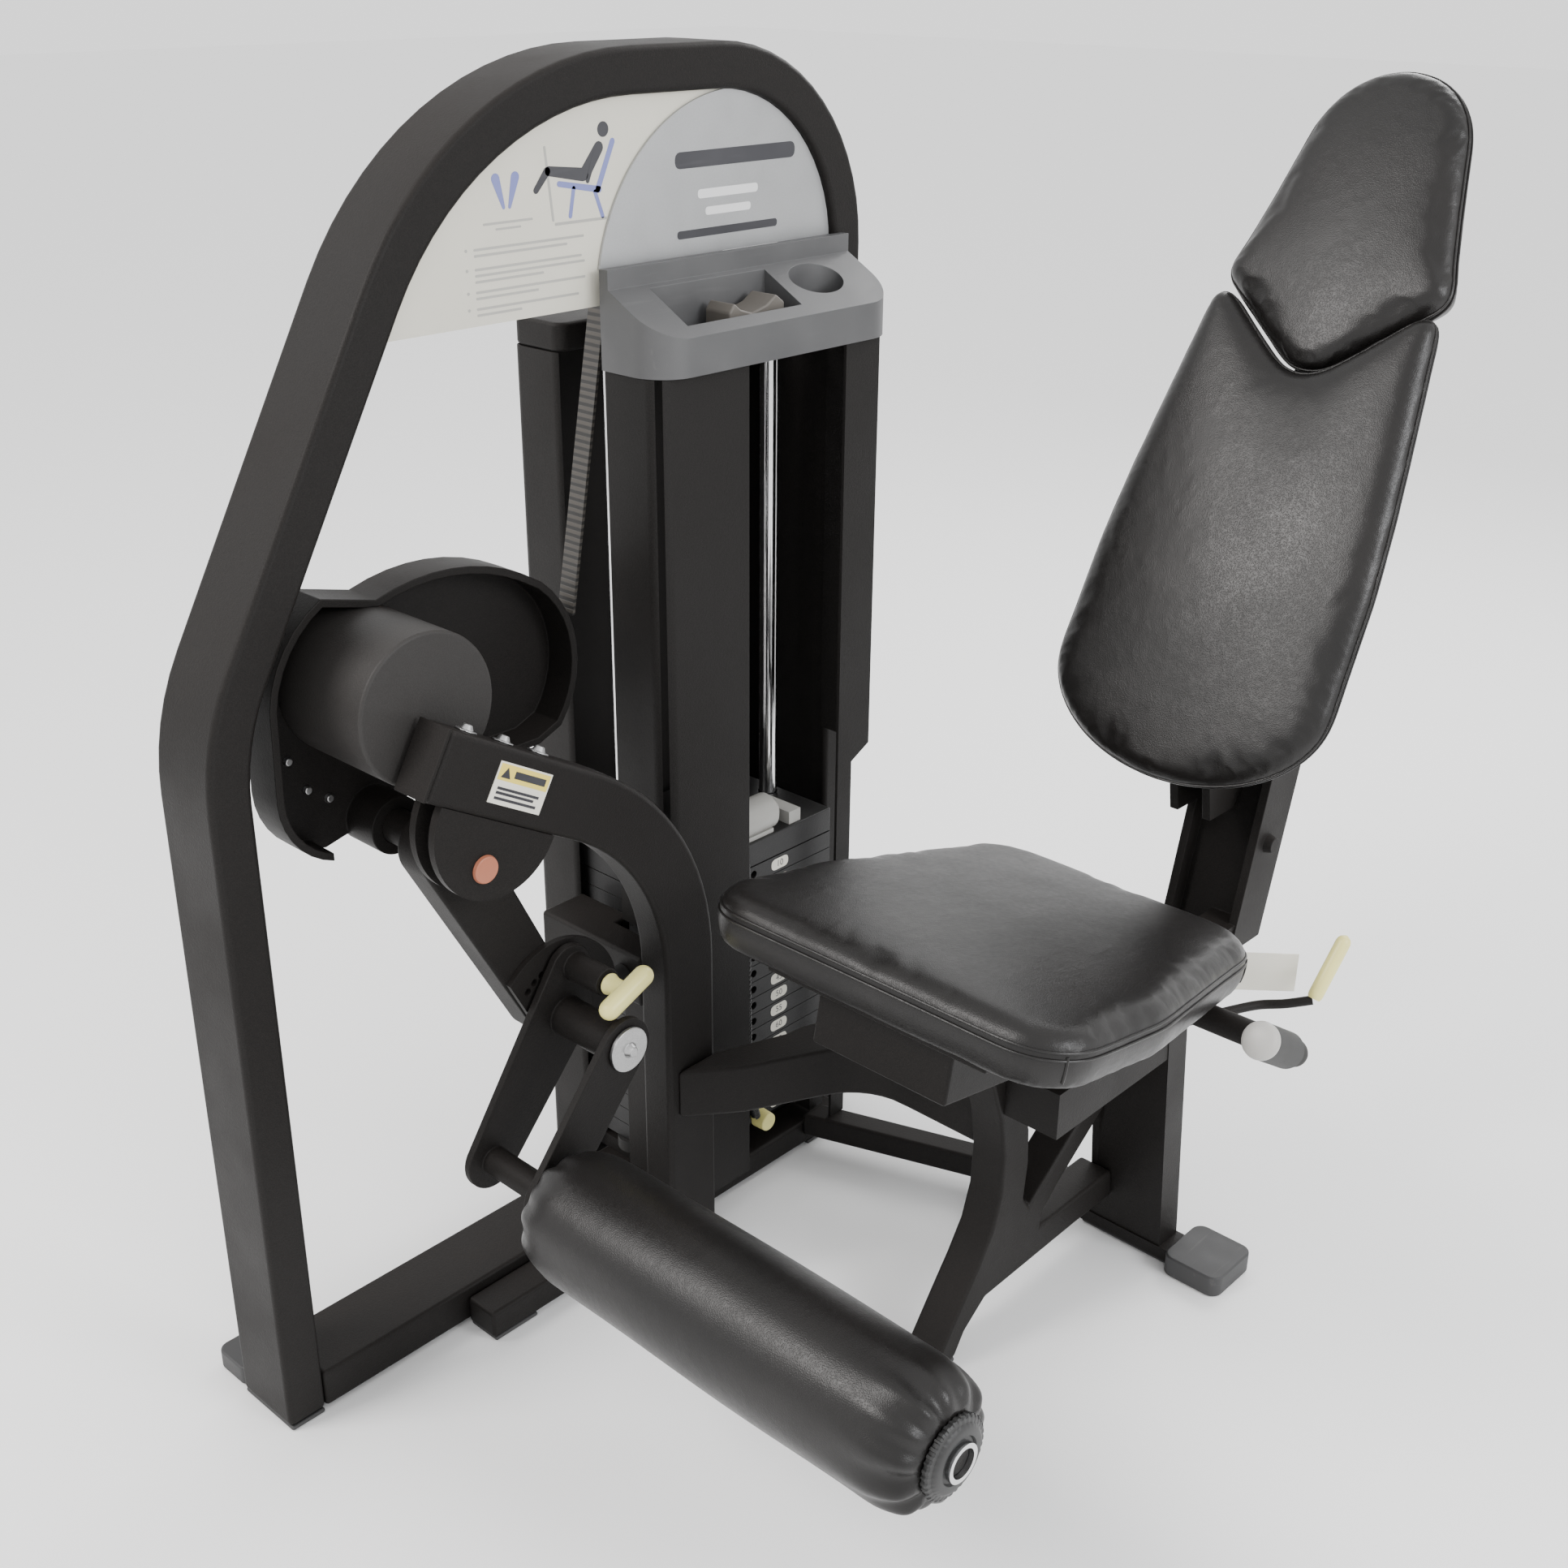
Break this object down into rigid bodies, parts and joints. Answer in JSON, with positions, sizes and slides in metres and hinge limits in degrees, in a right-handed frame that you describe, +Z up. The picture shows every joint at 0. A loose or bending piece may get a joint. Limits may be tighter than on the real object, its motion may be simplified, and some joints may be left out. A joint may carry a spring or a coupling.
{
  "type": "leg extension machine",
  "caption": "Selectorized leg extension machine: loop frame with a weight tower, cam and swinging roller arm beside a tilted seat with a sliding backrest.",
  "frame": {"origin": "on the floor under the middle of the machine's bounding box", "axes": "+X towards the seat side away from the weight tower (the user's left), -Y the way the user faces, +Z up"},
  "size_m": [0.988, 1.435, 1.5],
  "materials": {
    "frame_paint": "fine-texture powder coat, satin charcoal",
    "cover_paint": "fine-texture powder coat on sheet, satin charcoal",
    "drum_paint": "powder coat on a cast drum",
    "vinyl": "upholstery vinyl with a fine grain, semi-gloss",
    "rubber": "matt black rubber",
    "console_grey": "moulded grey plastic, fine texture",
    "saddle_grey": "moulded light brown-grey plastic",
    "guide_plate": "printed plate, cream, satin",
    "title_plate": "printed plate, silver, satin",
    "chrome": "polished chrome",
    "steel": "zinc-plated steel, brushed",
    "yellow_plastic": "pale yellow moulded plastic",
    "copper_cap": "copper-orange moulded cap",
    "cap_grey": "light grey moulded plastic",
    "cap_black": "black ribbed moulded flange",
    "pulley_black": "black nylon pulley",
    "belt": "ribbed drive belt, beige grey",
    "weight_black": "painted cast iron, satin black",
    "zinc": "light grey moulded cylinder",
    "cord_black": "black coiled cord jacket",
    "grip_rubber": "black rubber grip",
    "label": "printed sticker, pale yellow and white"
  },
  "bodies": {
    "base": {"loop_frame": "frame_paint", "floor_tube": "frame_paint", "feet": "rubber", "pivot_column": "frame_paint", "column_cap": "frame_paint", "pivot_plates": "frame_paint", "pivot_bearings": "steel", "cross_member": "frame_paint", "arm_stop": "rubber", "column_bolts": "steel", "cross_tube": "frame_paint", "front_leg": "frame_paint", "rear_post": "frame_paint", "floor_brace": "frame_paint", "seat_frame": "frame_paint", "seat_pad": "vinyl", "cover_near_front": "cover_paint", "cover_near_rear": "cover_paint", "cover_far": "cover_paint", "console": "console_grey", "console_saddle": "saddle_grey", "console_far": "console_grey", "placard_guide": "guide_plate", "placard_title": "title_plate", "stack_base": "frame_paint", "guide_rods": "chrome", "rod_crosshead": "frame_paint", "rod_bumpers": "rubber", "pulley_axle": "steel", "belt_run": "belt", "belt_drop": "belt", "slide_sleeve": "frame_paint", "handle_frame": "frame_paint", "handle_grips": "grip_rubber", "handle_caps": "cap_grey", "signs": "label"},
    "arm": {"main_shaft": "steel", "pivot_cap": "copper_cap", "cam": "frame_paint", "counterweight": "drum_paint", "arm_tube": "frame_paint", "sector_plate": "frame_paint", "arm_bolts": "steel"},
    "carrier_body": {"carrier": "frame_paint"},
    "pin_body": {"pop_pin": "yellow_plastic"},
    "roller": {"roller_tube": "chrome", "roller_pad": "vinyl", "roller_cap": "cap_black"},
    "pulley": {"top_pulley": "pulley_black"},
    "stack": {"weight_plates": "weight_black", "head_plate": "weight_black", "selector_rod": "steel", "add_on_weight": "zinc", "lanyard": "cord_black"},
    "selector": {"selector_pin": "yellow_plastic"},
    "backrest": {"back_carriage": "frame_paint", "back_pad": "vinyl", "head_pad": "vinyl"},
    "lever": {"release_lever": "frame_paint", "lever_grip": "yellow_plastic"}
  },
  "joints": [
    {"name": "arm_swing", "type": "hinge", "parent": "base", "child": "arm", "pos_m": [-0.307, -0.48446, 0.705], "axis": [-1, 0, 0], "range_deg": [0, 100.2]},
    {"name": "stack_lift", "type": "slide", "parent": "base", "child": "stack", "axis": [0, 0, 1], "range_m": [0, 0.3107], "deforming": ["belt_drop"]},
    {"name": "pulley_spin", "type": "hinge", "parent": "base", "child": "pulley", "pos_m": [-0.357, -0.04646, 1.372], "axis": [1, 0, 0], "range_deg": [0, 287.2]},
    {"name": "carrier_adjust", "type": "hinge", "parent": "arm", "child": "carrier_body", "pos_m": [-0.21, -0.35646, 0.455], "axis": [1, 0, 0], "range_deg": [-12, 60]},
    {"name": "pin_pull", "type": "slide", "parent": "carrier_body", "child": "pin_body", "axis": [1, 0, 0], "range_m": [0, 0.014], "stiffness_N_per_m": 800, "springref_m": -0.004},
    {"name": "roller_spin", "type": "hinge", "parent": "carrier_body", "child": "roller", "pos_m": [-0.007, -0.47446, 0.312], "axis": [1, 0, 0], "continuous": true},
    {"name": "selector_pull", "type": "slide", "parent": "stack", "child": "selector", "axis": [1, 0, 0], "range_m": [0, 0.115]},
    {"name": "back_slide", "type": "slide", "parent": "base", "child": "backrest", "axis": [0, -1, 0], "range_m": [0, 0.12]},
    {"name": "lever_pull", "type": "hinge", "parent": "base", "child": "lever", "pos_m": [0.293, 0.15554, 0.425], "axis": [1, 0, 0], "range_deg": [0, 20], "stiffness_Nm_per_rad": 8, "springref_deg": -14.32}
  ],
  "couplings": [
    {"joint": "arm_swing", "follows": "stack_lift", "rad_per_m": 5.618},
    {"joint": "pulley_spin", "follows": "stack_lift", "rad_per_m": 16.077}
  ]
}
